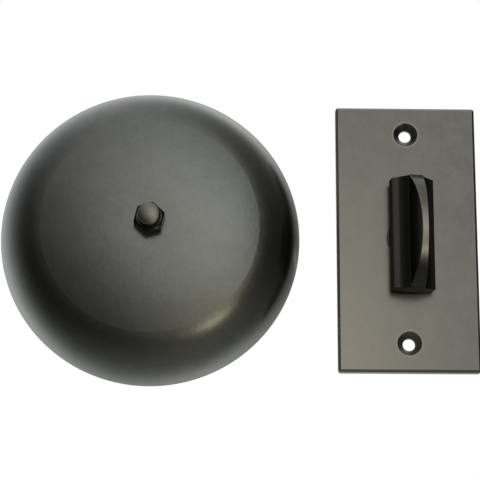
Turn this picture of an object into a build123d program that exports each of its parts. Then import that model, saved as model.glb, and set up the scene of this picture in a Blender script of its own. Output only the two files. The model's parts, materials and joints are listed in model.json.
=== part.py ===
from build123d import *

import os
from math import acos, asin, atan2, cos, degrees, isclose, pi, radians, sin, tan

# Twist doorbell: a bell half and a turn half, side by side as they lie before they are fixed to a door.
# Millimetres. The door's surface is the plane y = 0, +Z is up, and the faces look towards -Y.
# A height is a distance out from the door, so the height h is the plane y = -h.
# The origin is on the door's surface, on the axis of the gong. Angles count anticlockwise from +X, seen
# from the front.

# Clearances
running_gap = 0.05
end_shake = 0.1
thread_gap = 0.05
pin_gap = 0.15
door_gap = 0.2

# Gong: a bowl turned to the door, with a slightly domed crown, a wide round shoulder and a short straight rim
gong_radius = 50.0
gong_depth = 24.5
gong_wall = 2.0
gong_shoulder = 20.0
gong_rim_band = 0.8
gong_rim_height = 4.0
gong_seat_radius = 5.4
rim_rounding = 0.7

# Cap nut: a hexagon, a narrow round collar and a cap nearly as wide as the hexagon, with a low crown
nut_across_flats = 9.1
nut_turned = 16.3
nut_hex_height = 5.0
nut_collar_radius = 4.05
nut_collar_height = 0.6
nut_cap_radius = 3.75
nut_cap_height = 3.4
nut_cap_rounding = 0.8
nut_crown_radius = 9.0
nut_back_chamfer = 0.5
nut_front_chamfer = 1.1
nut_chamfer_slope = 30.0
nut_thread_depth = 8.0

# Base plate: a round stamping with a turned-up edge, four screw holes and three windows
base_radius = 42.0
base_thickness = 1.6
base_edge_height = 3.4
base_edge_rounding = 1.2
base_screw_inset = 5.0
base_screw_count = 4
base_screw_hole = 2.25
window_inner = 12.5
window_outer = 23.0
window_middles = (200.0, 340.0, 38.0)
window_span = 22.0

# Hub: it turns in a flanged bush in the base plate, and takes the square spindle in a socket
hub_radius = 6.5
hub_flange_radius = 9.0
hub_flange_thickness = 0.9
hub_pivot_radius = 2.0
hub_pivot_length = 2.2
socket_depth = 6.4
bush_radius = 8.0
bush_flange_radius = 9.5
bush_flange_thickness = 0.4

# Gear train: main wheel to transfer pinion, transfer wheel to striker pinion
gear_module = 0.8
pressure_angle = radians(20)
main_teeth = 50
transfer_pinion_teeth = 12
transfer_wheel_teeth = 36
striker_pinion_teeth = 12
tooth_shift = 0.3
tooth_addendum = 1.0
tooth_dedendum = 1.25
tooth_thinning = 0.06
main_wheel_thickness = 1.6
transfer_wheel_thickness = 1.4
wheel_gap = 0.4
pinion_overlap = 0.4
main_window_circle = 12.8
main_window_width = 5.2
main_window_span = 18.0
main_window_middles = (35.0, 90.0, 145.0)
transfer_window_circle = 8.0
transfer_window_width = 5.0
transfer_window_span = 18.0
transfer_window_count = 5

# Arbors
striker_distance = 24.7
striker_bearing = 90.0
arbor_radius = 2.6
pivot_radius = 1.3
wheel_seat_radius = 2.9
striker_journal_radius = 2.0

# Bridge plate on three pillars
pillar_height = 6.8
pillar_radius = 3.0
pillar_rivet_radius = 2.0
pillar_inset = 11.0
pillar_bearings = (208.0, 332.0, 25.0)
bridge_thickness = 1.6
bridge_centre_radius = 9.5
bridge_pillar_end = 4.6
bridge_bearing_end = 4.4
bridge_corner = 2.0
screw_radius = 1.5
screw_length = 5.0
screw_head_radius = 2.7
screw_head_height = 1.6
screw_head_rounding = 0.8
screw_slot_width = 0.7
screw_slot_depth = 0.8

# Gong post: flanged under the bridge, with a threaded end for the cap nut
post_radius = 3.4
post_flange_radius = 5.8
post_flange_thickness = 1.0
stud_radius = 2.5
stud_engagement = 6.5
gong_washer_inset = 0.4
gong_washer_thickness = 0.8

# Stop pin in the base plate, in a curved slot of the main wheel
twist_limit = 60.0
stop_margin = 1.5
stop_circle = 11.5
stop_pin_radius = 1.2

# Return spring: a coil round the hub, held by two slotted pins, one on the wheel and one under the bridge
spring_wire = 0.45
spring_mean_radius = 7.4
spring_pitch = 1.0
spring_turns = 2.5
spring_lift = 0.25
spring_leg = 15.2
spring_pin_distance = 13.5
spring_pin_radius = 1.4
spring_rivet_radius = 1.1
spring_slot_gap = 0.1
spring_pin_overlap = 0.3
spring_ear_radius = 3.0

# Striker: a flat bar with a loose hammer on a pin at each end
bar_lift = 0.5
bar_thickness = 1.4
bar_reach = 14.7
bar_middle_radius = 4.2
bar_end_radius = 2.7
bar_square = 2.6
bar_rivet_radius = 2.2
bar_rivet_height = 0.5
hammer_pin_radius = 1.2
hammer_pin_head_radius = 2.4
hammer_pin_head_height = 0.5
hammer_radius = 4.5
hammer_thickness = 3.2
hammer_rounding = 0.9
hammer_throw = 0.8
hammer_gap = 0.2

# Turn half: a plate with two countersunk screw holes, where its middle lies from the gong's axis
turn_at = (86.6, 1.7)
plate_width = 47.6
plate_height = 92.2
plate_thickness = 3.5
plate_corner = 0.9
plate_bevel = 0.8
plate_screw_spacing = 72.9
plate_screw_hole = 2.1
plate_sink_radius = 4.05
plate_sink_angle = 82.0
plate_sink_rounding = 0.4

# Thumb turn: an upright bar with sloped edges and hollow flanks, which rise to a half-moon blade. It leans a
# little to the right on its shank.
turn_width = 14.4
turn_length = 38.8
turn_end_bow = 0.3
turn_lean = 10.5
turn_lean_shift = 0.8
turn_side_height = 4.0
turn_strip = 1.9
turn_strip_rise = 1.1
turn_blade_height = 17.9
turn_blade_thickness = 2.3
turn_blade_foot = 5.2
turn_blade_foot_height = 7.4
turn_hollow_slope = 52.0
turn_end_height = 7.9
turn_edge_rounding = 0.3
turn_collar_radius = 7.0
turn_collar_height = 1.2
turn_neck_length = 0.4
turn_neck_reach = 1.6

# Shank of the turn, its ring and washer behind the plate, and the square spindle
shank_radius = 6.0
shank_length = 12.0
shank_socket_depth = 14.0
ring_groove_depth = 0.7
ring_groove_width = 1.2
ring_width = 2.4
ring_thickness = 1.1
ring_opening = 70.0
thrust_washer_radius = 9.5
thrust_washer_thickness = 1.0
spindle_side = 6.35
spindle_length = 75.0
spindle_chamfer = 0.8
socket_gap = 0.075
cross_pin_radius = 1.0
cross_pin_from_end = 3.5

# Circles of the base plate's screws and pillars
base_screw_circle = base_radius - base_screw_inset
pillar_circle = base_radius - pillar_inset

# Heights out from the door, from the base plate up
base_top = base_thickness
bush_top = base_top + bush_flange_thickness
hub_flange_foot = bush_top + end_shake
main_wheel_foot = hub_flange_foot + hub_flange_thickness
main_wheel_top = main_wheel_foot + main_wheel_thickness
transfer_wheel_foot = main_wheel_top + wheel_gap
transfer_wheel_top = transfer_wheel_foot + transfer_wheel_thickness
bridge_foot = base_top + pillar_height
bridge_top = bridge_foot + bridge_thickness
arbor_foot = base_top + end_shake
arbor_top = bridge_foot - end_shake
hub_top = bridge_foot - post_flange_thickness - 2 * end_shake
spring_low = main_wheel_top + spring_lift + spring_wire
spring_high = spring_low + spring_turns * spring_pitch
bar_foot = bridge_top + bar_lift
bar_top = bar_foot + bar_thickness
hammer_foot = bar_top + hammer_gap
hammer_top = hammer_foot + hammer_thickness
gong_top = gong_rim_height + gong_depth
gong_inner_top = gong_top - gong_wall
post_shoulder = gong_inner_top - gong_washer_thickness
plate_front = plate_thickness
turn_collar_top = plate_front + end_shake + turn_collar_height
turn_back = turn_collar_top + turn_neck_length

# Gear radii and places
main_pitch_radius = gear_module * main_teeth / 2
transfer_pinion_pitch = gear_module * transfer_pinion_teeth / 2
transfer_wheel_pitch = gear_module * transfer_wheel_teeth / 2
striker_pinion_pitch = gear_module * striker_pinion_teeth / 2
transfer_distance = main_pitch_radius + transfer_pinion_pitch
mesh_distance = transfer_wheel_pitch + striker_pinion_pitch
angle_between = degrees(acos(
    (transfer_distance**2 + striker_distance**2 - mesh_distance**2) / (2 * transfer_distance * striker_distance)
))
transfer_bearing = striker_bearing + angle_between


def polar(radius, angle):
    """Returns the point on the door's plane at this radius and angle from the gong's axis."""
    return (radius * cos(radians(angle)), radius * sin(radians(angle)))


gong_axis = (0.0, 0.0)
transfer_at = polar(transfer_distance, transfer_bearing)
striker_at = polar(striker_distance, striker_bearing)
spring_pin_at = (-spring_mean_radius, -spring_pin_distance)
spring_post_at = (spring_mean_radius, -spring_pin_distance)
transfer_to_striker = degrees(atan2(striker_at[1] - transfer_at[1], striker_at[0] - transfer_at[0]))


def facing(middle, height):
    """Returns the plane parallel to the door at this height, centred on the point, seen from the front."""
    return Plane(origin=(middle[0], -height, middle[1]), x_dir=(1, 0, 0), z_dir=(0, -1, 0))


def half_section(middle):
    """Returns the level plane through an axis: its x is the radius and its y the height from the door."""
    return Plane(origin=(middle[0], 0, middle[1]), x_dir=(1, 0, 0), z_dir=(0, 0, -1))


def axis_at(middle):
    """Returns the axis square to the door through the point."""
    return Axis((middle[0], 0, middle[1]), (0, 1, 0))


def turn_steps(middle, foot, steps):
    """Turns a stepped round bar from the height foot; each step is its radius and the height of its top."""
    corners = [(0, foot)]
    height = foot
    for radius, top in steps:
        corners += [(radius, height), (radius, top)]
        height = top
    corners.append((0, height))
    with BuildSketch(half_section(middle)) as profile:
        with BuildLine():
            Polyline(*corners, close=True)
        make_face()
    revolve(profile.sketch, axis=axis_at(middle))


def bore(middle, radius, foot, top):
    """Cuts a round hole square to the door between two heights."""
    with BuildSketch(facing(middle, foot)) as hole:
        Circle(radius)
    extrude(hole.sketch, amount=top - foot, mode=Mode.SUBTRACT)


def circles_of(shape, radius):
    """Returns the shape's circular edges of this radius, the farthest from the door first."""
    circles = shape.edges().filter_by(GeomType.CIRCLE).sort_by(Axis.Y)
    return [circle for circle in circles if isclose(circle.radius, radius)]


def involute(angle):
    """Returns the involute function of an angle in radians."""
    return tan(angle) - angle


def draw_gear(teeth, shift, first_tooth):
    """Draws a gear's outline round the sketch's origin; each flank is an arc through three involute points."""
    pitch = gear_module * teeth / 2
    base = pitch * cos(pressure_angle)
    tip = pitch + (tooth_addendum + shift) * gear_module
    root = pitch - (tooth_dedendum - shift) * gear_module
    start = max(root, base) + 0.02
    half_tooth = (pi / 2 + 2 * shift * tan(pressure_angle)) / teeth - tooth_thinning / (2 * pitch)

    def on_flank(radius, tooth_middle, side):
        turned = half_tooth + involute(pressure_angle) - involute(acos(base / radius))
        angle = tooth_middle + side * turned
        return (radius * cos(angle), radius * sin(angle))

    def at_root(tooth_middle, side):
        edge = on_flank(start, tooth_middle, side)
        return (edge[0] * root / start, edge[1] * root / start)

    with BuildLine() as outline:
        for tooth in range(teeth):
            middle = radians(first_tooth) + 2 * pi * tooth / teeth
            following = middle + 2 * pi / teeth
            gap_middle = middle + pi / teeth
            for side in (-1, 1):
                ThreePointArc(
                    on_flank(start, middle, side),
                    on_flank((start + tip) / 2, middle, side),
                    on_flank(tip, middle, side),
                )
                Line(at_root(middle, side), on_flank(start, middle, side))
            ThreePointArc(
                on_flank(tip, middle, -1), (tip * cos(middle), tip * sin(middle)), on_flank(tip, middle, 1)
            )
            ThreePointArc(
                at_root(middle, 1), (root * cos(gap_middle), root * sin(gap_middle)), at_root(following, -1)
            )
    make_face(outline.edges())


def arc_slot(circle, width, middle, span):
    """Draws a curved slot round the sketch's origin: its ends' middles are half the span from its middle."""
    start = middle - span / 2
    with BuildLine() as outline:
        for radius in (circle - width / 2, circle + width / 2):
            CenterArc((0, 0), radius, start, span)
        for end, outward in ((start, -180), (start + span, 0)):
            CenterArc(polar(circle, end), width / 2, end + outward, 180)
    make_face(outline.edges())


os.makedirs("parts", exist_ok=True)

# The gong's crown arc starts level at the nut's seat and runs into the shoulder without a corner
shoulder_height = gong_rim_height + gong_rim_band
shoulder_offset = gong_radius - gong_shoulder
crown_rise = gong_top - shoulder_height
crown_run = shoulder_offset - gong_seat_radius
crown_radius = (crown_run**2 + crown_rise**2 - gong_shoulder**2) / (2 * (crown_rise - gong_shoulder))
crown_slope = asin(crown_run / (crown_radius - gong_shoulder))


def bowl_half(inset):
    """Draws the half outline of the bowl, as far inside its outer surface as the inset, closed on its axis."""
    crown = crown_radius - inset
    shoulder = gong_shoulder - inset
    top = gong_top - inset
    turn = (gong_seat_radius + crown * sin(crown_slope), top - crown + crown * cos(crown_slope))
    crown_middle = (gong_seat_radius + crown * sin(crown_slope / 2), top - crown + crown * cos(crown_slope / 2))
    middle_slope = (crown_slope + pi / 2) / 2
    shoulder_middle = (
        shoulder_offset + shoulder * sin(middle_slope), shoulder_height + shoulder * cos(middle_slope)
    )
    wall = gong_radius - inset
    with BuildLine() as outline:
        Line((0, top), (gong_seat_radius, top))
        ThreePointArc((gong_seat_radius, top), crown_middle, turn)
        ThreePointArc(turn, shoulder_middle, (wall, shoulder_height))
        Line((wall, shoulder_height), (wall, gong_rim_height))
        Line((wall, gong_rim_height), (0, gong_rim_height))
        Line((0, gong_rim_height), (0, top))
    make_face(outline.edges())


with BuildPart() as gong:
    with BuildSketch(half_section(gong_axis)):
        bowl_half(0)
    revolve(axis=axis_at(gong_axis))
    with BuildSketch(half_section(gong_axis)):
        bowl_half(gong_wall)
    revolve(axis=axis_at(gong_axis), mode=Mode.SUBTRACT)
    bore(gong_axis, stud_radius + thread_gap, gong_inner_top, gong_top)
    rim_edges = gong.edges().group_by(Axis.Y)[-1]
    fillet(rim_edges, radius=min(rim_rounding, 0.45 * gong_wall))
gong.part.label = "gong"
export_step(gong.part, "parts/gong.step")

with BuildPart() as cap_nut:
    with BuildSketch(facing(gong_axis, gong_top)):
        RegularPolygon(nut_across_flats / 2, 6, major_radius=False, rotation=nut_turned)
    extrude(amount=nut_hex_height)
    # The hexagon's corners are turned off by a cone, a little at the back and down to the collar at the front
    corner_radius = nut_across_flats / 2 / cos(pi / 6)
    collar_foot = gong_top + nut_hex_height
    rise_per_inset = tan(radians(nut_chamfer_slope))
    with BuildSketch(half_section(gong_axis)):
        with BuildLine():
            Polyline(
                (0, gong_top), (corner_radius - nut_back_chamfer, gong_top),
                (corner_radius, gong_top + nut_back_chamfer * rise_per_inset),
                (corner_radius, collar_foot - nut_front_chamfer * rise_per_inset),
                (corner_radius - nut_front_chamfer, collar_foot), (0, collar_foot), close=True,
            )
        make_face()
    revolve(axis=axis_at(gong_axis), mode=Mode.INTERSECT)
    collar_top = collar_foot + nut_collar_height
    cap_top = collar_top + nut_cap_height
    crown_edge = degrees(acos(nut_cap_radius / nut_crown_radius))
    crown_middle = cap_top - nut_crown_radius * sin(radians(crown_edge))
    with BuildSketch(half_section(gong_axis)):
        with BuildLine():
            Polyline(
                (0, crown_middle + nut_crown_radius), (0, collar_foot), (nut_collar_radius, collar_foot),
                (nut_collar_radius, collar_top), (nut_cap_radius, collar_top), (nut_cap_radius, cap_top),
            )
            CenterArc((0, crown_middle), nut_crown_radius, crown_edge, 90 - crown_edge)
        make_face()
    revolve(axis=axis_at(gong_axis))
    fillet(circles_of(cap_nut, nut_cap_radius)[0], radius=nut_cap_rounding)
    bore(gong_axis, stud_radius + thread_gap, gong_top, gong_top + nut_thread_depth)
cap_nut.part.label = "cap_nut"
export_step(cap_nut.part, "parts/cap_nut.step")

with BuildPart() as base_plate:
    with BuildSketch(facing(gong_axis, 0)):
        Circle(base_radius)
    extrude(amount=base_edge_height)
    with BuildSketch(facing(gong_axis, base_top)):
        Circle(base_radius - base_thickness)
    extrude(amount=base_edge_height - base_top, mode=Mode.SUBTRACT)
    fillet(base_plate.edges().group_by(Axis.Y)[-1], radius=base_edge_rounding)
    with BuildSketch(facing(gong_axis, 0)):
        Circle(bush_radius)
        with PolarLocations(base_screw_circle, base_screw_count):
            Circle(base_screw_hole)
        for middle in window_middles:
            arc_slot((window_inner + window_outer) / 2, window_outer - window_inner, middle, window_span)
        with Locations(*[polar(pillar_circle, bearing) for bearing in pillar_bearings]):
            Circle(pillar_rivet_radius)
        with Locations(transfer_at, striker_at):
            Circle(pivot_radius + running_gap)
        with Locations(polar(stop_circle, 270)):
            Circle(stop_pin_radius)
    extrude(amount=base_top, mode=Mode.SUBTRACT)
base_plate.part.label = "base_plate"
export_step(base_plate.part, "parts/base_plate.step")

with BuildPart() as hub_bush:
    turn_steps(gong_axis, 0, [(bush_radius, base_top), (bush_flange_radius, bush_top)])
    bore(gong_axis, hub_radius + running_gap, 0, bush_top)
hub_bush.part.label = "hub_bush"
export_step(hub_bush.part, "parts/hub_bush.step")

pillars = []
for number, bearing in enumerate(pillar_bearings, start=1):
    with BuildPart() as pillar:
        pillar_at = polar(pillar_circle, bearing)
        turn_steps(pillar_at, 0, [(pillar_rivet_radius, base_top), (pillar_radius, bridge_foot)])
        bore(pillar_at, screw_radius + thread_gap, bridge_top - screw_length - end_shake, bridge_foot)
    pillar.part.label = f"pillar_{number}"
    export_step(pillar.part, f"parts/pillar_{number}.step")

for number, bearing in enumerate(pillar_bearings, start=1):
    with BuildPart() as bridge_screw:
        screw_at = polar(pillar_circle, bearing)
        head_top = bridge_top + screw_head_height
        turn_steps(
            screw_at, bridge_top - screw_length, [(screw_radius, bridge_top), (screw_head_radius, head_top)]
        )
        fillet(bridge_screw.edges().group_by(Axis.Y)[0], radius=screw_head_rounding)
        with BuildSketch(facing(screw_at, head_top)):
            Rectangle(2 * screw_head_radius, screw_slot_width, rotation=bearing)
        extrude(amount=-screw_slot_depth, mode=Mode.SUBTRACT)
    bridge_screw.part.label = f"bridge_screw_{number}"
    export_step(bridge_screw.part, f"parts/bridge_screw_{number}.step")


def bridge_arm(end, end_radius):
    """Draws a tapered arm of the bridge, from its round middle to a round end."""
    with BuildSketch(mode=Mode.PRIVATE) as arm:
        Circle(bridge_centre_radius)
        with Locations(end):
            Circle(end_radius)
        make_hull(arm.edges())
    add(arm.sketch)


with BuildPart() as bridge_plate:
    with BuildSketch(facing(gong_axis, bridge_foot)) as bridge_face:
        for bearing in pillar_bearings:
            bridge_arm(polar(pillar_circle, bearing), bridge_pillar_end)
        for bearing_at in (transfer_at, striker_at):
            bridge_arm(bearing_at, bridge_bearing_end)
        bridge_arm(spring_post_at, spring_ear_radius)
    extrude(amount=bridge_thickness)
    fillet(bridge_plate.edges().filter_by(Axis.Y), radius=bridge_corner)
    bore(gong_axis, post_radius, bridge_foot, bridge_top)
    for bearing in pillar_bearings:
        bore(polar(pillar_circle, bearing), screw_radius + thread_gap, bridge_foot, bridge_top)
    bore(transfer_at, pivot_radius + running_gap, bridge_foot, bridge_top)
    bore(striker_at, striker_journal_radius + running_gap, bridge_foot, bridge_top)
    bore(spring_post_at, spring_rivet_radius, bridge_foot, bridge_top)
bridge_plate.part.label = "bridge_plate"
export_step(bridge_plate.part, "parts/bridge_plate.step")

with BuildPart() as gong_post:
    flange_foot = bridge_foot - post_flange_thickness
    turn_steps(gong_axis, flange_foot, [
        (post_flange_radius, bridge_foot), (post_radius, post_shoulder), (stud_radius, gong_top + stud_engagement),
    ])
    bore(gong_axis, hub_pivot_radius + running_gap, flange_foot, hub_top + hub_pivot_length + end_shake)
gong_post.part.label = "gong_post"
export_step(gong_post.part, "parts/gong_post.step")

with BuildPart() as gong_washer:
    turn_steps(gong_axis, post_shoulder, [(gong_seat_radius - gong_washer_inset, gong_inner_top)])
    bore(gong_axis, stud_radius + thread_gap, post_shoulder, gong_inner_top)
gong_washer.part.label = "gong_washer"
export_step(gong_washer.part, "parts/gong_washer.step")

with BuildPart() as drive_hub:
    turn_steps(gong_axis, door_gap, [
        (hub_radius, hub_flange_foot), (hub_flange_radius, main_wheel_foot), (hub_radius, hub_top),
        (hub_pivot_radius, hub_top + hub_pivot_length),
    ])
    with BuildSketch(facing(gong_axis, door_gap)):
        Rectangle(spindle_side + 2 * socket_gap, spindle_side + 2 * socket_gap)
    extrude(amount=socket_depth, mode=Mode.SUBTRACT)
drive_hub.part.label = "drive_hub"
export_step(drive_hub.part, "parts/drive_hub.step")

with BuildPart() as main_wheel:
    with BuildSketch(facing(gong_axis, main_wheel_foot)):
        draw_gear(main_teeth, -tooth_shift, transfer_bearing)
    extrude(amount=main_wheel_thickness)
    with BuildSketch(facing(gong_axis, main_wheel_foot)):
        Circle(hub_radius)
        arc_slot(stop_circle, 2 * (stop_pin_radius + pin_gap), 270, 2 * (twist_limit + stop_margin))
        for middle in main_window_middles:
            arc_slot(main_window_circle, main_window_width, middle, main_window_span)
        with Locations(spring_pin_at):
            Circle(spring_rivet_radius)
    extrude(amount=main_wheel_thickness, mode=Mode.SUBTRACT)
main_wheel.part.label = "main_wheel"
export_step(main_wheel.part, "parts/main_wheel.step")

with BuildPart() as transfer_pinion:
    leaves_foot = main_wheel_foot - pinion_overlap
    turn_steps(transfer_at, door_gap, [
        (pivot_radius, arbor_foot), (arbor_radius, transfer_wheel_foot), (wheel_seat_radius, transfer_wheel_top),
        (arbor_radius, arbor_top), (pivot_radius, bridge_top - end_shake),
    ])
    with BuildSketch(facing(transfer_at, leaves_foot)):
        draw_gear(transfer_pinion_teeth, tooth_shift, transfer_bearing + 180 + 180 / transfer_pinion_teeth)
    extrude(amount=transfer_wheel_foot - leaves_foot)
transfer_pinion.part.label = "transfer_pinion"
export_step(transfer_pinion.part, "parts/transfer_pinion.step")

with BuildPart() as transfer_wheel:
    with BuildSketch(facing(transfer_at, transfer_wheel_foot)):
        draw_gear(transfer_wheel_teeth, -tooth_shift, transfer_to_striker)
    extrude(amount=transfer_wheel_thickness)
    with BuildSketch(facing(transfer_at, transfer_wheel_foot)):
        Circle(wheel_seat_radius)
        for window in range(transfer_window_count):
            middle = transfer_to_striker + 360 * window / transfer_window_count
            arc_slot(transfer_window_circle, transfer_window_width, middle, transfer_window_span)
    extrude(amount=transfer_wheel_thickness, mode=Mode.SUBTRACT)
transfer_wheel.part.label = "transfer_wheel"
export_step(transfer_wheel.part, "parts/transfer_wheel.step")

with BuildPart() as striker_pinion:
    leaves_foot = main_wheel_top + wheel_gap / 2
    leaves_top = transfer_wheel_top + pinion_overlap
    turn_steps(striker_at, door_gap, [
        (pivot_radius, arbor_foot), (arbor_radius, arbor_top), (striker_journal_radius, bar_foot),
    ])
    with BuildSketch(facing(striker_at, leaves_foot)):
        draw_gear(striker_pinion_teeth, tooth_shift, transfer_to_striker + 180 + 180 / striker_pinion_teeth)
    extrude(amount=leaves_top - leaves_foot)
    with BuildSketch(facing(striker_at, bar_foot)):
        Rectangle(bar_square, bar_square)
    extrude(amount=bar_thickness)
    turn_steps(striker_at, bar_top, [(bar_rivet_radius, bar_top + bar_rivet_height)])
striker_pinion.part.label = "striker_pinion"
export_step(striker_pinion.part, "parts/striker_pinion.step")

hammer_pins_at = [(striker_at[0] - bar_reach, striker_at[1]), (striker_at[0] + bar_reach, striker_at[1])]

with BuildPart() as striker_bar:
    with BuildSketch(facing(striker_at, bar_foot)) as bar_outline:
        Circle(bar_middle_radius)
        with Locations((-bar_reach, 0), (bar_reach, 0)):
            Circle(bar_end_radius)
        make_hull(bar_outline.edges())
        Rectangle(bar_square, bar_square, mode=Mode.SUBTRACT)
        with Locations((-bar_reach, 0), (bar_reach, 0)):
            Circle(hammer_pin_radius, mode=Mode.SUBTRACT)
    extrude(amount=bar_thickness)
striker_bar.part.label = "striker_bar"
export_step(striker_bar.part, "parts/striker_bar.step")

for number, pin_at in enumerate(hammer_pins_at, start=1):
    with BuildPart() as hammer_pin:
        head_foot = hammer_top + hammer_gap
        turn_steps(pin_at, bar_foot, [
            (hammer_pin_radius, head_foot), (hammer_pin_head_radius, head_foot + hammer_pin_head_height),
        ])
    hammer_pin.part.label = f"hammer_pin_{number}"
    export_step(hammer_pin.part, f"parts/hammer_pin_{number}.step")

for number, pin_at in enumerate(hammer_pins_at, start=1):
    with BuildPart() as hammer:
        # The hammer hangs on its pin by the top of its wide hole
        hanging_at = (pin_at[0], pin_at[1] - hammer_throw)
        turn_steps(hanging_at, hammer_foot, [(hammer_radius, hammer_top)])
        fillet(hammer.edges().filter_by(GeomType.CIRCLE), radius=hammer_rounding)
        bore(hanging_at, hammer_pin_radius + hammer_throw + running_gap, hammer_foot, hammer_top)
    hammer.part.label = f"hammer_{number}"
    export_step(hammer.part, f"parts/hammer_{number}.step")

with BuildPart() as stop_pin:
    turn_steps(polar(stop_circle, 270), 0, [(stop_pin_radius, main_wheel_top)])
stop_pin.part.label = "stop_pin"
export_step(stop_pin.part, "parts/stop_pin.step")

slot_width = 2 * (spring_wire + spring_slot_gap)

with BuildPart() as spring_pin:
    pin_top = spring_low + spring_wire + spring_pin_overlap
    turn_steps(spring_pin_at, main_wheel_foot, [
        (spring_rivet_radius, main_wheel_top), (spring_pin_radius, pin_top),
    ])
    with BuildSketch(facing(spring_pin_at, pin_top)):
        Rectangle(slot_width, 2 * spring_pin_radius)
    extrude(amount=spring_low - spring_wire - spring_slot_gap - pin_top, mode=Mode.SUBTRACT)
spring_pin.part.label = "spring_pin"
export_step(spring_pin.part, "parts/spring_pin.step")

with BuildPart() as spring_post:
    post_end = spring_high - spring_wire - spring_pin_overlap
    turn_steps(spring_post_at, post_end, [(spring_pin_radius, bridge_foot), (spring_rivet_radius, bridge_top)])
    with BuildSketch(facing(spring_post_at, post_end)):
        Rectangle(slot_width, 2 * spring_pin_radius)
    extrude(amount=spring_high + spring_wire + spring_slot_gap - post_end, mode=Mode.SUBTRACT)
spring_post.part.label = "spring_post"
export_step(spring_post.part, "parts/spring_post.step")

# The coil climbs clockwise from the left side of the hub to its right side; both legs run straight down
coil_start = Plane(origin=(0, -spring_low, 0), x_dir=(-1, 0, 0), z_dir=(0, -1, 0))
coil_path = coil_start * Helix(spring_pitch, spring_turns * spring_pitch, spring_mean_radius, lefthand=True)

with BuildPart() as return_spring:
    with BuildLine() as spring_line:
        Line(coil_path @ 0 + Vector(0, 0, -spring_leg), coil_path @ 0)
        add(coil_path)
        Line(coil_path @ 1, coil_path @ 1 + Vector(0, 0, -spring_leg))
    spring_path = spring_line.wires()[0]
    with BuildSketch(Plane(origin=spring_path @ 0, z_dir=spring_path % 0)):
        Circle(spring_wire)
    sweep(path=spring_path)
return_spring.part.label = "return_spring"
export_step(return_spring.part, "parts/return_spring.step")

with BuildPart() as turn_plate:
    with BuildSketch(facing(turn_at, 0)):
        RectangleRounded(plate_width, plate_height, plate_corner)
    extrude(amount=plate_thickness)
    chamfer(turn_plate.edges().group_by(Axis.Y)[0], length=plate_bevel)
    with Locations(facing(turn_at, plate_front)):
        with GridLocations(0, plate_screw_spacing, 1, 2):
            CounterSinkHole(plate_screw_hole, plate_sink_radius, plate_thickness, plate_sink_angle)
    fillet(circles_of(turn_plate, plate_sink_radius), radius=plate_sink_rounding)
    bore(turn_at, shank_radius + running_gap, 0, plate_front)
turn_plate.part.label = "turn_plate"
export_step(turn_plate.part, "parts/turn_plate.step")

ring_foot = thrust_washer_thickness + 2 * end_shake
groove_radius = shank_radius - ring_groove_depth
pin_height = cross_pin_from_end - shank_length


def cross_hole():
    """Drills the hole of the cross pin, level and square to the spindle, through the current part."""
    with BuildSketch(Plane(origin=(turn_at[0], -pin_height, turn_at[1]), z_dir=(1, 0, 0))) as drill:
        Circle(cross_pin_radius)
    extrude(drill.sketch, amount=shank_radius, both=True, mode=Mode.SUBTRACT)


# The handle's own directions: across it, and out of its back, both tilted by the lean
across = Vector(cos(radians(turn_lean)), sin(radians(turn_lean)), 0)
outward = Vector(sin(radians(turn_lean)), -cos(radians(turn_lean)), 0)
handle_origin = Vector(turn_at[0] + turn_lean_shift, -turn_back, turn_at[1])

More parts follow.
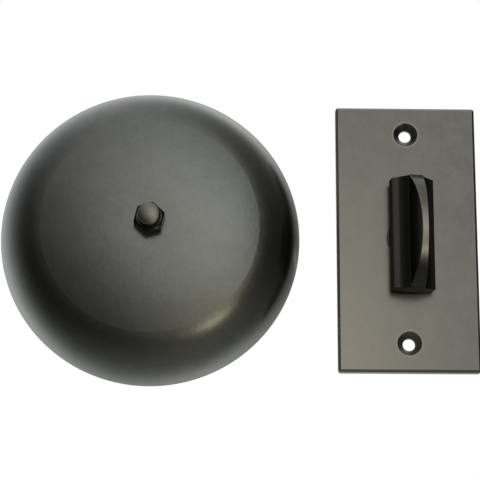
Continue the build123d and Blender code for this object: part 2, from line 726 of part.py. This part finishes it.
with BuildPart() as thumb_turn:
    # The section across the length: upright sides, a sloped strip along each edge, and hollow flanks
    half_width = turn_width / 2
    half_blade = turn_blade_thickness / 2
    half_foot = turn_blade_foot / 2
    strip_inner = half_width - turn_strip
    strip_top = turn_side_height + turn_strip_rise
    # The hollow leaves the strip at the strip's slope and reaches the blade's foot at a steeper one. Both slopes,
    # drawn on, meet at the point that the curve is drawn towards.
    strip_slope = turn_strip_rise / turn_strip
    foot_slope = tan(radians(turn_hollow_slope))
    rise_at_axis = turn_blade_foot_height + foot_slope * half_foot - strip_top - strip_slope * strip_inner
    hollow_x = rise_at_axis / (foot_slope - strip_slope)
    hollow_y = strip_top + strip_slope * (strip_inner - hollow_x)
    with BuildSketch(Plane(origin=handle_origin, x_dir=across, z_dir=(0, 0, -1))):
        with BuildLine():
            Polyline(
                (-strip_inner, strip_top), (-half_width, turn_side_height), (-half_width, 0),
                (half_width, 0), (half_width, turn_side_height), (strip_inner, strip_top),
            )
            for side in (-1, 1):
                foot = (side * half_foot, turn_blade_foot_height)
                Line((side * half_blade, turn_blade_height), foot)
                Bezier(foot, (side * hollow_x, hollow_y), (side * strip_inner, strip_top))
            Line((-half_blade, turn_blade_height), (half_blade, turn_blade_height))
        make_face()
    extrude(amount=turn_length / 2, both=True)
    # The half-moon of the blade, seen from the side
    with BuildSketch(Plane(origin=handle_origin, x_dir=(0, 0, 1), z_dir=across)):
        with BuildLine():
            half_length = turn_length / 2
            ThreePointArc((-half_length, turn_end_height), (0, turn_blade_height), (half_length, turn_end_height))
            Polyline(
                (half_length, turn_end_height), (half_length, 0), (-half_length, 0),
                (-half_length, turn_end_height),
            )
        make_face()
    extrude(amount=turn_width, both=True, mode=Mode.INTERSECT)
    # Both ends are bowed a little, seen from the front
    with BuildSketch(Plane(origin=handle_origin, x_dir=across, z_dir=outward)):
        with BuildLine():
            corner_z = half_length - turn_end_bow
            for end in (-1, 1):
                ThreePointArc((-half_width, end * corner_z), (0, end * half_length), (half_width, end * corner_z))
                Line((end * half_width, -corner_z), (end * half_width, corner_z))
        make_face()
    extrude(amount=turn_blade_height, mode=Mode.INTERSECT)
    fillet(thumb_turn.edges(), radius=turn_edge_rounding)
    turn_steps(turn_at, -shank_length, [
        (shank_radius, -ring_foot - ring_groove_width), (groove_radius, -ring_foot),
        (shank_radius, plate_front + end_shake), (turn_collar_radius, turn_collar_top),
        (shank_radius, turn_back + turn_neck_reach),
    ])
    with BuildSketch(facing(turn_at, -shank_length)):
        Rectangle(spindle_side + 2 * socket_gap, spindle_side + 2 * socket_gap)
    extrude(amount=shank_socket_depth, mode=Mode.SUBTRACT)
    cross_hole()
thumb_turn.part.label = "thumb_turn"
export_step(thumb_turn.part, "parts/thumb_turn.step")

with BuildPart() as thrust_washer:
    washer_foot = -thrust_washer_thickness - end_shake
    turn_steps(turn_at, washer_foot, [(thrust_washer_radius, -end_shake)])
    bore(turn_at, shank_radius + running_gap, washer_foot, -end_shake)
thrust_washer.part.label = "thrust_washer"
export_step(thrust_washer.part, "parts/thrust_washer.step")

with BuildPart() as retaining_ring:
    ring_inner = groove_radius + running_gap
    with BuildSketch(facing(turn_at, -ring_foot - (ring_groove_width + ring_thickness) / 2)):
        arc_slot(ring_inner + ring_width / 2, ring_width, 90, 360 - ring_opening)
    extrude(amount=ring_thickness)
retaining_ring.part.label = "retaining_ring"
export_step(retaining_ring.part, "parts/retaining_ring.step")

with BuildPart() as spindle:
    spindle_head = shank_socket_depth - shank_length - end_shake
    with BuildSketch(facing(turn_at, spindle_head)):
        Rectangle(spindle_side, spindle_side)
    extrude(amount=-spindle_length)
    chamfer(spindle.edges().filter_by(Axis.Y, reverse=True), length=spindle_chamfer)
    cross_hole()
spindle.part.label = "spindle"
export_step(spindle.part, "parts/spindle.step")

with BuildPart() as cross_pin:
    with BuildSketch(Plane(origin=(turn_at[0], -pin_height, turn_at[1]), z_dir=(1, 0, 0))):
        Circle(cross_pin_radius)
    extrude(amount=shank_radius - end_shake, both=True)
cross_pin.part.label = "cross_pin"
export_step(cross_pin.part, "parts/cross_pin.step")
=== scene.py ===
# %% [markdown]
# # A twist doorbell in dark bronze
# The object is in two halves that lie side by side: a domed gong over a little gear train, and a plate
# with a thumb turn whose square spindle reaches through the door. Every solid comes from the packed
# model, already in its place and in metres, so this file only dresses it: finishes, a copy of the spring,
# light and a camera.

# %% Load the packed model
import json
from math import cos, radians, sin

import bmesh
import bpy
import numpy as np
from mathutils import Euler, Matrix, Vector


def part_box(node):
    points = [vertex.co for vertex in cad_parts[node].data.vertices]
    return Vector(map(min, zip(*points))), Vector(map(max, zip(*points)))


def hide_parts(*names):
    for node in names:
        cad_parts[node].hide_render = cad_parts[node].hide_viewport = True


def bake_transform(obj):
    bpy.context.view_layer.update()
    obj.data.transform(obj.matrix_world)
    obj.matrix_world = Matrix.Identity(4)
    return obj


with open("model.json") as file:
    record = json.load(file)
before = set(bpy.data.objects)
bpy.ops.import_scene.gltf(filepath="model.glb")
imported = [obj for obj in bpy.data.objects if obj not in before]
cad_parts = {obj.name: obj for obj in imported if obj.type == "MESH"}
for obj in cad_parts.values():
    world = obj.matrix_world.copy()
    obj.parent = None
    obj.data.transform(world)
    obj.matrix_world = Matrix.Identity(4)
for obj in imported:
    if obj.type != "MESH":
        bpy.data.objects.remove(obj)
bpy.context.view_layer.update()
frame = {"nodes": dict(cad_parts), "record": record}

nodes = frame["nodes"]

# %% [markdown]
# ## Shader maths that reads like maths
# A finish is a small graph of nodes. Wiring every Math node by hand hides the idea, so a Wire wraps one
# socket and lets the usual signs build the nodes: `(1 - dust) * 0.5` is the plain sum that it looks
# like. Python calls the reflected forms, such as `__rsub__`, where the plain number stands on the left.

# %% A socket that can be added, scaled and eased
class Wire:
    """One socket of a node; arithmetic on it adds Math nodes to the same tree."""

    def __init__(self, tree, socket):
        self.tree = tree
        self.socket = socket

    def maths(self, operation, *values):
        """Adds one Math node that works on this wire and the values, and returns its result as a Wire."""
        node = self.tree.nodes.new("ShaderNodeMath")
        node.operation = operation
        for place, value in zip(node.inputs, (self, *values)):
            connect(self.tree, place, value)
        return Wire(self.tree, node.outputs[0])

    def __add__(self, other):
        return self.maths("ADD", other)

    def __sub__(self, other):
        return self.maths("SUBTRACT", other)

    def __mul__(self, other):
        return self.maths("MULTIPLY", other)

    def __truediv__(self, other):
        return self.maths("DIVIDE", other)

    def __pow__(self, other):
        return self.maths("POWER", other)

    def __rsub__(self, other):
        return self * -1 + other

    __radd__ = __add__
    __rmul__ = __mul__

    def exp(self):
        return self.maths("EXPONENT")

    def absolute(self):
        return self.maths("ABSOLUTE")

    def smallest(self, other):
        return self.maths("MINIMUM", other)

    def largest(self, other):
        return self.maths("MAXIMUM", other)

    def step(self, low, high, start=0.0, end=1.0):
        """Eases from start, where the wire is at low or less, to end, where it is at high or more."""
        node = self.tree.nodes.new("ShaderNodeMapRange")
        node.interpolation_type = "SMOOTHSTEP"
        for name, value in (("From Min", low), ("From Max", high), ("To Min", start), ("To Max", end)):
            node.inputs[name].default_value = value
        connect(self.tree, node.inputs["Value"], self)
        return Wire(self.tree, node.outputs["Result"])


def connect(tree, place, value):
    """Links a Wire into a socket, or sets the socket to a plain number, colour or vector."""
    if isinstance(value, Wire):
        tree.links.new(value.socket, place)
    elif hasattr(place.default_value, "__len__") and len(place.default_value) == 4:
        place.default_value = (*value, 1.0)[:4]
    else:
        place.default_value = value


print("signs of a Wire:", [name for name in vars(Wire) if name.startswith("__r") or name == "__pow__"])

# %% [markdown]
# ## One graph, one finish
# A Finish is one material, or the world. Its method `node` adds any kind of node, and the rest are the
# few that every finish here asks for: the point's place, cloudy noise, a blend of two colours, a bump
# and the shader at the end. Places are Object coordinates: each piece's mesh holds its place in metres,
# so a pattern has its real size and moves with the piece.

# %% A material's or the world's graph
class Finish:
    """One material's graph, or the world's."""

    def __init__(self, name, world=False):
        self.block = bpy.data.worlds.new(name) if world else bpy.data.materials.new(name)
        self.block.use_nodes = True
        self.tree = self.block.node_tree
        self.tree.nodes.clear()

    def node(self, kind, settings=None, inputs=None, output=0):
        """Adds a node, sets its settings first and then its sockets by name, and returns one output."""
        node = self.tree.nodes.new(kind)
        for name, value in (settings or {}).items():
            setattr(node, name, value)
        for name, value in (inputs or {}).items():
            connect(self.tree, node.inputs[name], value)
        return Wire(self.tree, node.outputs[output]) if node.outputs else node

    def place(self):
        """The point's place on the object, in metres."""
        return self.node("ShaderNodeTexCoord", output="Object")

    def xyz(self):
        """The three coordinates of the point's place, each as a Wire."""
        first = self.node("ShaderNodeSeparateXYZ", inputs={"Vector": self.place()})
        return [Wire(self.tree, socket) for socket in first.socket.node.outputs]

    def noise(self, size, detail=3.0, rough=0.5, at=None):
        """Cloudy noise about 0.5, with lumps of this size in metres."""
        inputs = {"Vector": at or self.place(), "Scale": 1 / size, "Detail": detail, "Roughness": rough}
        return self.node("ShaderNodeTexNoise", {"noise_dimensions": "3D"}, inputs, "Fac")

    def mix(self, share, first, second):
        """Blends two colours by a share from 0 to 1."""
        node = self.tree.nodes.new("ShaderNodeMix")
        node.data_type = "RGBA"
        for name, value in (("Factor_Float", share), ("A_Color", first), ("B_Color", second)):
            connect(self.tree, next(s for s in node.inputs if s.identifier == name), value)
        return Wire(self.tree, next(s for s in node.outputs if s.identifier == "Result_Color"))

    def bump(self, height, depth):
        """A normal bent by a height map whose full swing is this depth in metres."""
        inputs = {"Height": height, "Distance": depth, "Strength": 1.0}
        return self.node("ShaderNodeBump", inputs=inputs, output="Normal")

    def surface(self, **sockets):
        """Ends the graph in a Principled shader with these sockets (spaces written as underscores)."""
        inputs = {name.replace("_", " "): value for name, value in sockets.items()}
        shader = self.node("ShaderNodeBsdfPrincipled", inputs=inputs)
        self.node("ShaderNodeOutputMaterial", inputs={"Surface": shader})
        return self.block


def dress(node_name, finish):
    """Gives a solid a finish in place of the plain material that it was packed with."""
    materials = nodes[node_name].data.materials
    materials.clear()
    materials.append(finish)


print("plain materials to be replaced:", len(bpy.data.materials))

# %% [markdown]
# ## The dark bronze
# Door furniture like this is brass or steel under a satin dark bronze coat. It mirrors softly, so its
# tone is mostly the tone of the studio, with a faint cloudiness of the coat and a skin a few hundredths
# of a millimetre deep, like orange peel. A metallic Principled shader with a dark, faintly green grey
# gives that; paint with a clear coat would mirror too weakly in the middle of the gong.

# %% Dark bronze
broad_lump = 0.022
patch_lump = 0.0055
fine_lump = 0.0015
grain_lump = 0.00045
broad_weight = 0.5
patch_weight = 0.6
fine_weight = 0.7
gloss_swing = 0.06
grain_share = 0.15


def dark_bronze(
    name, tone=(0.183, 0.192, 0.175), gloss=0.23, cloud=0.08, skin=0.000035, edge=1.0, painted_layers=None
):
    """A satin bronze coat: three sizes of cloudiness in tone, two of them in gloss, and a fine skin in the
    bump. Edge is the share of light that it mirrors at a glancing angle. The last argument returns pairs of
    a share and a colour of painted light and shade, laid over the coat in that order."""
    coat = Finish(name)
    broad = coat.noise(broad_lump, detail=4.0, rough=0.55)
    patch = coat.noise(patch_lump, detail=3.0, rough=0.55)
    fine = coat.noise(fine_lump, detail=3.0, rough=0.6)
    grain = coat.noise(grain_lump, detail=2.0, rough=0.6)
    dark = [c * (1 - 2 * cloud) for c in tone]
    light = [c * (1 + 2 * cloud) for c in tone]
    shade = (broad - 0.5) * broad_weight + (patch - 0.5) * patch_weight + (fine - 0.5) * fine_weight + 0.5
    colour = coat.mix(shade, dark, light)
    # Layers of painted light and shade over the coat.
    for share, over in painted_layers(coat) if painted_layers else []:
        colour = coat.mix(share, colour, over)
    return coat.surface(
        Base_Color=colour,
        Metallic=1.0,
        Specular_Tint=(edge, edge, edge),
        Roughness=(broad - 0.5) * gloss_swing + (fine - 0.5) * gloss_swing + gloss,
        Normal=coat.bump(fine * (1 - grain_share) + grain * grain_share, skin),
    )


print("lumps of the coat in mm:", [1000 * size for size in (broad_lump, patch_lump, fine_lump, grain_lump)])

# %% [markdown]
# ## Painted light on the plate
# The coat of the plate is painted paler towards its lower left corner, a painted pool of light, and
# painted with thin highlights along its edge and round the rim of each sink. Each such place is a smooth
# share worked out from the point's own coordinates, so it stays on the piece from any side.

# %% Painted light on the plate
# Pale: painted light and painted highlight, with some real rubbing on the turn's crest.
pale_wear_and_painted_light = (0.300, 0.295, 0.250)
plate_low, plate_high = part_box("turn_plate")
plate_middle = (plate_low + plate_high) / 2
plate_half = (plate_high - plate_low) / 2
# Where the painted pool of light sits and how far it reaches, then the bands of painted highlight.
painted_light_at = (-0.034, -0.0615)
painted_light_reach = (0.043, 0.082)
outline_highlight_band = (0.0004, 0.0011)
outline_highlight_share = 0.4
sink_height = 0.03645
sink_radius = 0.0042
rim_highlight_band = (0.0002, 0.0007)
rim_highlight_share = 0.5


def plate_painted_light(coat):
    """A painted pool of light, exp(-distance squared) highest beyond the plate's lower left corner, and
    bands of painted highlight within a millimetre of the plate's edge and of the rim of each sink."""
    x, _, z = coat.xyz()
    x = x - plate_middle.x
    z = z - plate_middle.z
    across = (x - painted_light_at[0]) / painted_light_reach[0]
    along = (z - painted_light_at[1]) / painted_light_reach[1]
    # The painted pool of light beyond the lower left corner.
    painted_light_hill = ((across * across + along * along) * -1).exp()
    from_outline = (plate_half.x - x.absolute()).smallest(plate_half.z - z.absolute())
    from_rim = (x**2 + (z.absolute() - sink_height) ** 2) ** 0.5 - sink_radius
    # Painted highlights along the plate's edge and round the sink rims.
    outline_highlight = from_outline.step(*outline_highlight_band, outline_highlight_share, 0.0)
    rim_highlights = from_rim.absolute().step(*rim_highlight_band, rim_highlight_share, 0.0)
    return [(painted_light_hill, pale_wear_and_painted_light), (outline_highlight.largest(rim_highlights), pale_wear_and_painted_light)]


print("middle of the plate in mm:", [round(1000 * x, 1) for x in plate_middle])

# %% [markdown]
# ## Painted light and shade on the turn
# The crest is painted pale, and coppery at its highest, partly the polish of fingers and partly a painted
# highlight, while the hollows beside it and the walls of the foot are painted dark as painted shade. The
# blade leans on its foot, so its width and height come from x and y turned by that lean. The crest is an
# arc, so it is where the distance from the arc's centre is the arc's radius.

# %% Painted light and shade on the turn
# Coppery colour of the crest's highest part: partly rubbed copper, partly a painted highlight.
copper_and_painted_highlight = (0.290, 0.262, 0.235)
# Dark colour: painted shade for the hollows and the walls of the foot.
painted_shade = (0.030, 0.031, 0.026)
foot_x, foot_y = 0.0874, -0.0053
lean = radians(10.5)
hollow_side = (0.0050, 0.0056)
hollow_top = (0.0130, 0.0160)
hollow_shade_share = 0.75
wall_top = (0.0026, 0.0042)
wall_shade_share = 0.8
crest_radius = 0.02382
crest_centre = -0.00592
crest_depth = (0.0005, 0.0002)
polish_and_highlight_from = (-0.0140, -0.0050)
polish_and_highlight_share = 0.5
copper_height = (0.0155, 0.0178)
copper_highlight_share = 0.5


def turn_painted_light_and_shade(coat):
    """Width and height over the leaning foot decide: painted shade on the walls and in the hollows within
    the side strips; pale on the crest from its upper end to past the middle and coppery at its highest,
    partly polish and partly painted highlight."""
    x, y, z = coat.xyz()
    x = x - foot_x
    y = y - foot_y
    along = z - plate_middle.z
    across = (x * cos(lean) + y * sin(lean)).absolute()
    height = x * sin(lean) - y * cos(lean)
    # Painted shade in the hollows and on the walls of the foot.
    hollow_painted_shade = across.step(*hollow_side, 1.0, 0.0) * height.step(*hollow_top, hollow_shade_share, 0.0)
    wall_painted_shade = height.step(*wall_top, wall_shade_share, 0.0)
    from_centre = (along**2 + (height - crest_centre) ** 2) ** 0.5
    crest = from_centre.step(crest_radius - crest_depth[0], crest_radius - crest_depth[1])
    # Pale and coppery crest: partly polish, partly painted highlight.
    polish_and_painted_highlight = crest * along.step(*polish_and_highlight_from, 0.0, polish_and_highlight_share)
    copper_top_highlight = crest * height.step(*copper_height, 0.0, copper_highlight_share)
    return [(hollow_painted_shade.largest(wall_painted_shade), painted_shade), (polish_and_painted_highlight, pale_wear_and_painted_light), (copper_top_highlight, copper_and_painted_highlight)]


print("radius of the crest in mm:", 1000 * crest_radius)

# %% [markdown]
# ## Painted light and shade on the nut, and the coats
# The nut's hexagon is painted dark as painted shade, and the face of its cap a little paler as a painted
# highlight. Then the four pieces that show get their coats. A face seen at a glancing angle mirrors almost
# all light in a plain metallic shader; the coat on the nut and the turn mirrors less there, so their narrow
# sides stay dark.

# %% Coats on the four pieces that show
hexagon_height = (0.0335, 0.0355)
hexagon_shade_share = 0.85
cap_height = (0.0362, 0.0376)
cap_highlight_share = 0.35


def nut_painted_light_and_shade(coat):
    """Height over the door decides: painted shade on the hexagon, a painted highlight on the face of the
    cap.
    """
    height = coat.xyz()[1] * -1
    # Painted shade on the hexagon.
    hexagon = height.step(*hexagon_height, hexagon_shade_share, 0.0)
    # Painted highlight on the face of the cap.
    cap = height.step(*cap_height, 0.0, cap_highlight_share)
    return [(hexagon, painted_shade), (cap, pale_wear_and_painted_light)]


dress("gong", dark_bronze("bronze_gong"))
dress("cap_nut", dark_bronze("bronze_nut", tone=(0.145, 0.148, 0.133), edge=0.5, painted_layers=nut_painted_light_and_shade))
dress("turn_plate", dark_bronze(
    "bronze_plate", tone=(0.149, 0.149, 0.136), gloss=0.31, cloud=0.14, skin=0.000030, painted_layers=plate_painted_light))
dress("thumb_turn", dark_bronze("bronze_turn", tone=(0.142, 0.144, 0.129), edge=0.65, painted_layers=turn_painted_light_and_shade))
print("coats:", sorted(m.name for m in bpy.data.materials if m.name.startswith("bronze_")))

# %% [markdown]
# ## The works
# Behind the gong there are zinc-plated stampings, turned steel, blanked brass wheels, a bronze bush, an
# oil-blued spring and a red fibre washer, and the turn's spindle is a bar of drawn steel. Each gets the
# marks of how it was made: the grain of rolled sheet, the rings of the lathe, the long lines of the
# drawing die. The stretch of a metal is how many times finer its marks are along x, y and z.

# %% Metals of the works
cloud_lump = 0.009
matt_film = 0.2


def worked_metal(name, tone, gloss, marks, depth, stretch=(1.0, 1.0, 1.0), cloud=0.08):
    """A plain metal with its making marks: noise stretched along one way, in tone, gloss and bump, over the
    soft clouds of the sheet. A share of it is the matt film of oxide or zinc that keeps real parts from
    going black where nothing bright is mirrored."""
    metal = Finish(name)
    stretched = {"Vector": metal.place(), "Scale": stretch}
    at = metal.node("ShaderNodeMapping", inputs=stretched, output="Vector")
    lines = metal.noise(marks, detail=1.0, at=at)
    patches = metal.noise(cloud_lump)
    shade = (patches - 0.5) * 1.6 + (lines - 0.5) * 0.5 + 0.5
    dark = [c * (1 - cloud) for c in tone]
    light = [c * (1 + cloud) for c in tone]
    return metal.surface(
        Base_Color=metal.mix(shade, dark, light),
        Metallic=1 - matt_film,
        Roughness=(lines - 0.5) * 0.16 + (patches - 0.5) * 0.10 + gloss,
        Normal=metal.bump(lines, depth),
    )


def fibre_board(name, dark, light, grain=0.0005, gloss=0.62, depth=0.00002):
    """Pressed fibre: one fine dull speckle in tone, gloss and bump."""
    board = Finish(name)
    speckle = board.noise(grain, rough=0.6)
    return board.surface(
        Base_Color=board.mix(speckle, dark, light),
        Metallic=0.0,
        Roughness=(speckle - 0.5) * 0.2 + gloss,
        Normal=board.bump(speckle, depth),
    )


bare_steel = (0.52, 0.52, 0.53)
lathe_rings = (0.3, 2.5, 0.3)
die_lines = (2.0, 0.08, 2.0)
rolled_grain = (0.3, 1.0, 2.5)
metal_by_slot = {
    "zinc_steel": worked_metal("zinc_steel", (0.56, 0.57, 0.57), 0.36, 0.0011, 0.000008, cloud=0.12),
    "bright_steel": worked_metal("turned_steel", bare_steel, 0.28, 0.0008, 0.000003, lathe_rings),
    "brass": worked_metal("brass", (0.74, 0.55, 0.26), 0.30, 0.0010, 0.000003, rolled_grain),
    "bronze_bush": worked_metal("bronze_bush", (0.50, 0.33, 0.18), 0.42, 0.0004, 0.000010),
    "spring_steel": worked_metal("spring_steel", (0.10, 0.11, 0.14), 0.30, 0.0005, 0.000003),
    "fibre": fibre_board("fibre", dark=(0.16, 0.045, 0.03), light=(0.24, 0.075, 0.05)),
}
for row in frame["record"]["subparts"]:
    if row["material_slot"] in metal_by_slot:
        dress(row["node"], metal_by_slot[row["material_slot"]])
dress("spindle", worked_metal("drawn_steel", bare_steel, 0.30, 0.0008, 0.000003, die_lines))
print("finishes in all:", len(bpy.data.materials))

# %% [markdown]
# ## The return spring winds up
# ## A copy of the return spring
# The coil is held by two slotted pins: one turns with the wheel, the other stands under the bridge. A
# solid is rigid, so the spring would stay behind when the wheel turns. A copy of its mesh, with corners
# that share a place merged, takes its place, and the packed spring is hidden.

# %% Spring between the wheel and the bridge
same_corner = 0.000001
wound = nodes["return_spring"].data.copy()
joined = bmesh.new()
joined.from_mesh(wound)
bmesh.ops.remove_doubles(joined, verts=joined.verts, dist=same_corner)
joined.to_mesh(wound)
joined.free()
spring = bpy.data.objects.new("wound_spring", wound)
bpy.context.scene.collection.objects.link(spring)
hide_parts("return_spring")
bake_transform(spring)
print("spring's corners:", len(nodes["return_spring"].data.vertices), "merged to", len(wound.vertices))

# %% [markdown]
# ## Studio light
# Dark metal shows its surroundings. In a product studio these are a white backdrop behind the object, a
# bright window-like softbox ahead of it, a weaker one higher up on the left, and dark walls between,
# which draw the dark ring around the gong. A small warm lamp, low on the right, is the bright spot on
# the gong and on the crest. Each light is a soft round glow on the world: its strength falls off with
# the angle between it and the mirrored direction, as e to the power of tightness times (cosine minus
# one). That needs no lamp objects, and no hard edges show in the metal.

# %% Directions and the soft lights
def towards(azimuth, elevation):
    """The direction at these angles in degrees; azimuth is 0 ahead of the door, and grows to the right."""
    a = radians(azimuth)
    e = radians(elevation)
    return (sin(a) * cos(e), -cos(a) * cos(e), sin(e))


# Name, azimuth, elevation, tightness, strength, warmth
glows = [
    ("softbox low", 20.2, 3.8, 10.5, 0.73, 0.10),
    ("softbox high", 21.9, 22.4, 8.0, 0.39, -0.14),
    ("left softbox", -4.9, 31.4, 7.3, 0.43, 0.11),
    ("front high", 0.0, 45.0, 10.0, 0.06, 0.0),
    ("ceiling", -42.8, 76.0, 6.9, 0.41, -0.09),
    ("ceiling right", 59.1, 65.5, 3.6, 0.12, 0.20),
    ("floor right", 50.0, -40.0, 8.0, 0.18, 0.10),
    ("warm lamp", 30.8, -26.9, 150.0, 1.9, 0.22),
    ("warm lamp's card", 28.0, -22.0, 25.0, 0.13, 0.55),
    ("backdrop left", -132.3, -3.1, 6.9, 0.96, -0.02),
    ("backdrop left high", -154.1, 50.9, 5.7, 0.90, -0.07),
    ("backdrop left low", -140.0, -35.0, 8.0, 0.28, -0.05),
    ("backdrop right high", 146.8, 46.2, 16.3, 0.92, 0.02),
    ("backdrop right low", 153.7, -31.4, 6.6, 0.76, 0.0),
    ("table", -180.0, -80.0, 2.5, 0.20, 0.04),
]
cut_softboxes = ("softbox low", "softbox high")
print("soft lights:", len(glows))

# %% [markdown]
# ## The world
# Both softboxes end at one upright edge on the right, which the gong shows as the sharp border of its
# bright middle. Only mirrored rays see the lights. The camera sees plain white, and a matt surface
# gathers even white light, so that a colour renders about as it is written.

# %% World from the soft lights
softbox_edge = 36.0
edge_softness = 0.06
white = (1.0, 1.0, 1.0)
studio = Finish("studio", world=True)
ray = studio.node("ShaderNodeTexCoord", output="Generated")


def facing(direction):
    """The cosine between the mirrored ray and a direction."""
    return studio.node("ShaderNodeVectorMath", {"operation": "DOT_PRODUCT"}, {0: ray, 1: direction}, "Value")


def glow(azimuth, elevation, tightness):
    """One soft round light of strength 1."""
    return ((facing(towards(azimuth, elevation)) - 1) * tightness).exp()


inside = facing(towards(softbox_edge - 90, 0)).step(-edge_softness, edge_softness)
red, green, blue = 0, 0, 0
for name, azimuth, elevation, tightness, strength, warmth in glows:
    light = glow(azimuth, elevation, tightness)
    if name in cut_softboxes:
        light = light * inside
    red = light * (strength * (1 + warmth / 2)) + red
    green = light * strength + green
    blue = light * (strength * (1 - warmth)) + blue
channels = {"Red": red, "Green": green, "Blue": blue}
mirrored = studio.node("ShaderNodeCombineColor", inputs=channels, output="Color")
matt_ray = studio.node("ShaderNodeLightPath", output="Is Diffuse Ray")
camera_ray = studio.node("ShaderNodeLightPath", output="Is Camera Ray")
seen = studio.mix(camera_ray, studio.mix(matt_ray, mirrored, white), white)
background = studio.node("ShaderNodeBackground", inputs={"Color": seen, "Strength": 1.0})
studio.node("ShaderNodeOutputWorld", inputs={"Surface": background})
bpy.context.scene.world = studio.block
print("nodes in the world:", len(studio.tree.nodes))

# %% [markdown]
# ## Floor
# The halves hang upright as on a door, so the floor lies well below them and below the camera. It is
# white paper that keeps a soft shadow. The world already holds the table that the metal mirrors, so the
# metal doesn't mirror the floor as well.

# %% Floor
floor_height = -0.32
floor_reach = 3.0
sides = np.array([(-1, -1), (1, -1), (1, 1), (-1, 1)]) * floor_reach
floor_mesh = bpy.data.meshes.new("floor")
floor_mesh.from_pydata(np.c_[sides, np.full(4, floor_height)].tolist(), [], [(0, 1, 2, 3)])
floor = bpy.data.objects.new("floor", floor_mesh)
bpy.context.scene.collection.objects.link(floor)
paper = Finish("white_paper")
floor_mesh.materials.append(paper.surface(Base_Color=(0.93, 0.93, 0.925), Metallic=0.0, Roughness=0.9))
floor.visible_glossy = False
print("floor at", floor_height, "m")

# %% [markdown]
# ## Camera
# The outlines of the gong and of the plate's four corners fix the view: a long lens, 65 cm away and 17
# cm below the middle, tilted up by 15 degrees.

# %% Camera
camera = bpy.data.cameras.new("camera")
camera.sensor_width = 36.0
camera.lens = 149.73
eye = bpy.data.objects.new("camera", camera)
eye.location = (0.01352, -0.65254, -0.17341)
eye.rotation_euler = Euler((radians(104.990), radians(-0.078), radians(-1.480)), "XYZ")
bpy.context.scene.collection.objects.link(eye)
bpy.context.scene.camera = eye
bpy.context.scene.view_settings.view_transform = "Standard"
print("lens", camera.lens, "mm")

# %% [markdown]
